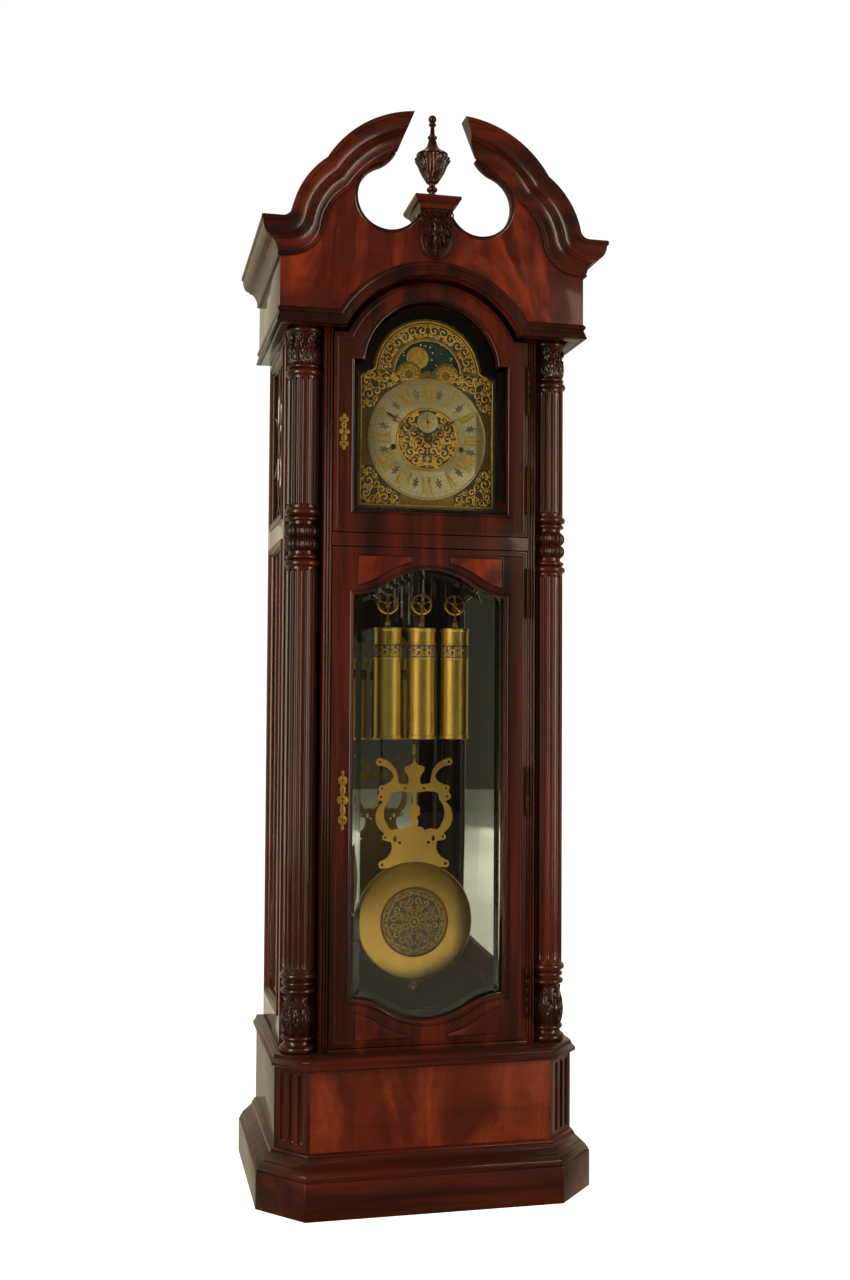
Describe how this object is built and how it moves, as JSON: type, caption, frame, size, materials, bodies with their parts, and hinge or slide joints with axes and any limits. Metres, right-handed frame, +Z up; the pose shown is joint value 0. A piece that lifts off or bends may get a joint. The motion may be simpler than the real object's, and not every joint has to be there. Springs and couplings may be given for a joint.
{
  "type": "grandfather clock",
  "caption": "Free-standing longcase clock with arched moon dial, glazed doors, fluted corner columns, swan-neck crown, cable-driven weights and lyre pendulum.",
  "frame": {"origin": "centre of the model's footprint on the floor", "axes": "+Z up, the doors face -Y, +X to the right as seen from the front, backs flush at +Y"},
  "size_m": [0.688, 0.439, 2.118],
  "materials": {
    "cherry_wood": "gloss lacquer",
    "carved_cherry": "gloss lacquer, dark in the hollows",
    "flame_veneer": "gloss lacquer over flame figure",
    "clear_glass": "clear, bevelled",
    "silvered_mirror": "polished",
    "silvered_brass": "fine circular brush",
    "black_hands": "gloss",
    "painted_moon_disc": "satin",
    "satin_brass": "fine brushed",
    "gilt_dial_brass": "polished and engraved",
    "movement_brass": "turned",
    "polished_brass": "polished",
    "steel": "drawn"
  },
  "bodies": {
    "root": {"plinth": "cherry_wood", "base_moulding": "cherry_wood", "base_box": "cherry_wood", "base_front_panel": "flame_veneer", "base_cap": "cherry_wood", "side_wall_left": "cherry_wood", "side_wall_right": "cherry_wood", "back_panel": "cherry_wood", "back_mirror": "silvered_mirror", "front_frame": "cherry_wood", "column_left": "carved_cherry", "column_right": "carved_cherry", "frieze_board": "flame_veneer", "frieze_sides": "cherry_wood", "hood_moulding": "cherry_wood", "hood_roof": "cherry_wood", "crown_left": "cherry_wood", "crown_right": "cherry_wood", "keystone": "carved_cherry", "keystone_cap": "cherry_wood", "finial": "carved_cherry", "side_fretwork": "cherry_wood", "side_glass": "clear_glass", "seat_board": "cherry_wood", "dial_plate": "gilt_dial_brass", "chapter_ring": "silvered_brass", "dial_centre": "gilt_dial_brass", "dial_spandrels": "gilt_dial_brass", "movement_frame": "movement_brass", "chime_rods": "steel", "case_hinges": "polished_brass"},
    "upper_door": {"upper_door_frame": "cherry_wood", "upper_door_glass": "clear_glass", "upper_escutcheon": "polished_brass", "upper_door_hinges": "polished_brass"},
    "lower_door": {"lower_door_frame": "cherry_wood", "lower_door_glass": "clear_glass", "lower_door_panels": "flame_veneer", "lower_escutcheon": "polished_brass", "lower_door_hinges": "polished_brass"},
    "centre_arbor": {"minute_hand": "black_hands"},
    "hour_pipe": {"hour_hand": "black_hands"},
    "escape_arbor": {"seconds_hand": "black_hands"},
    "moon": {"moon_disc": "painted_moon_disc"},
    "anchor": {"anchor_crutch": "steel"},
    "pendulum": {"pendulum_rod": "steel", "pendulum_lyre": "satin_brass", "pendulum_disc": "satin_brass"},
    "weight_left": {"weight_left": "polished_brass", "strands_left": "steel"},
    "pulley_left": {"pulley_left": "polished_brass"},
    "drum_left": {"drum_left": "movement_brass"},
    "weight_centre": {"weight_centre": "polished_brass", "strands_centre": "steel"},
    "pulley_centre": {"pulley_centre": "polished_brass"},
    "drum_centre": {"drum_centre": "movement_brass"},
    "weight_right": {"weight_right": "polished_brass", "strands_right": "steel"},
    "pulley_right": {"pulley_right": "polished_brass"},
    "drum_right": {"drum_right": "movement_brass"}
  },
  "joints": [
    {"name": "upper_door_hinge", "type": "hinge", "parent": "root", "child": "upper_door", "pos_m": [0.196, -0.1448, 1.4], "axis": [0, 0, 1], "range_deg": [0, 105]},
    {"name": "lower_door_hinge", "type": "hinge", "parent": "root", "child": "lower_door", "pos_m": [0.196, -0.1448, 0.77], "axis": [0, 0, 1], "range_deg": [0, 105]},
    {"name": "centre_arbor_turn", "type": "hinge", "parent": "root", "child": "centre_arbor", "pos_m": [0, -0.095, 1.475], "axis": [0, 1, 0], "continuous": true},
    {"name": "hour_pipe_turn", "type": "hinge", "parent": "root", "child": "hour_pipe", "pos_m": [0, -0.095, 1.475], "axis": [0, 1, 0], "continuous": true},
    {"name": "escape_arbor_turn", "type": "hinge", "parent": "root", "child": "escape_arbor", "pos_m": [0, -0.095, 1.509], "axis": [0, 1, 0], "continuous": true},
    {"name": "moon_turn", "type": "hinge", "parent": "root", "child": "moon", "pos_m": [0, -0.095, 1.606], "axis": [0, 1, 0], "continuous": true},
    {"name": "pendulum_swing", "type": "hinge", "parent": "root", "child": "pendulum", "pos_m": [0, 0.0075, 1.54], "axis": [0, 1, 0], "range_deg": [-2.5, 2.5]},
    {"name": "anchor_rock", "type": "hinge", "parent": "root", "child": "anchor", "pos_m": [0, 0.0075, 1.54], "axis": [0, 1, 0], "range_deg": [-2.5, 2.5]},
    {"name": "weight_left_drop", "type": "slide", "parent": "root", "child": "weight_left", "axis": [0, 0, -1], "range_m": [-0.12, 0.53], "deforming": ["strands_left"]},
    {"name": "pulley_left_turn", "type": "hinge", "parent": "weight_left", "child": "pulley_left", "pos_m": [-0.069, -0.052, 1.149], "axis": [0, 1, 0], "range_deg": [-360, 1560]},
    {"name": "drum_left_turn", "type": "hinge", "parent": "root", "child": "drum_left", "pos_m": [-0.069, -0.052, 1.457], "axis": [0, 1, 0], "range_deg": [-720, 3120]},
    {"name": "weight_centre_drop", "type": "slide", "parent": "root", "child": "weight_centre", "axis": [0, 0, -1], "range_m": [-0.12, 0.53], "deforming": ["strands_centre"]},
    {"name": "pulley_centre_turn", "type": "hinge", "parent": "weight_centre", "child": "pulley_centre", "pos_m": [0, -0.052, 1.149], "axis": [0, 1, 0], "range_deg": [-360, 1560]},
    {"name": "drum_centre_turn", "type": "hinge", "parent": "root", "child": "drum_centre", "pos_m": [0, -0.052, 1.436], "axis": [0, 1, 0], "range_deg": [-720, 3120]},
    {"name": "weight_right_drop", "type": "slide", "parent": "root", "child": "weight_right", "axis": [0, 0, -1], "range_m": [-0.12, 0.53], "deforming": ["strands_right"]},
    {"name": "pulley_right_turn", "type": "hinge", "parent": "weight_right", "child": "pulley_right", "pos_m": [0.069, -0.052, 1.149], "axis": [0, 1, 0], "range_deg": [-360, 1560]},
    {"name": "drum_right_turn", "type": "hinge", "parent": "root", "child": "drum_right", "pos_m": [0.069, -0.052, 1.457], "axis": [0, 1, 0], "range_deg": [-720, 3120]}
  ],
  "couplings": [
    {"joint": "hour_pipe_turn", "follows": "centre_arbor_turn", "ratio": 0.083333},
    {"joint": "escape_arbor_turn", "follows": "centre_arbor_turn", "ratio": 60},
    {"joint": "moon_turn", "follows": "centre_arbor_turn", "ratio": 0.00070621},
    {"joint": "anchor_rock", "follows": "pendulum_swing", "ratio": 1},
    {"joint": "pulley_left_turn", "follows": "weight_left_drop", "rad_per_m": 50},
    {"joint": "drum_left_turn", "follows": "weight_left_drop", "rad_per_m": 100},
    {"joint": "pulley_centre_turn", "follows": "weight_centre_drop", "rad_per_m": 50},
    {"joint": "drum_centre_turn", "follows": "weight_centre_drop", "rad_per_m": 100},
    {"joint": "pulley_right_turn", "follows": "weight_right_drop", "rad_per_m": 50},
    {"joint": "drum_right_turn", "follows": "weight_right_drop", "rad_per_m": 100}
  ]
}
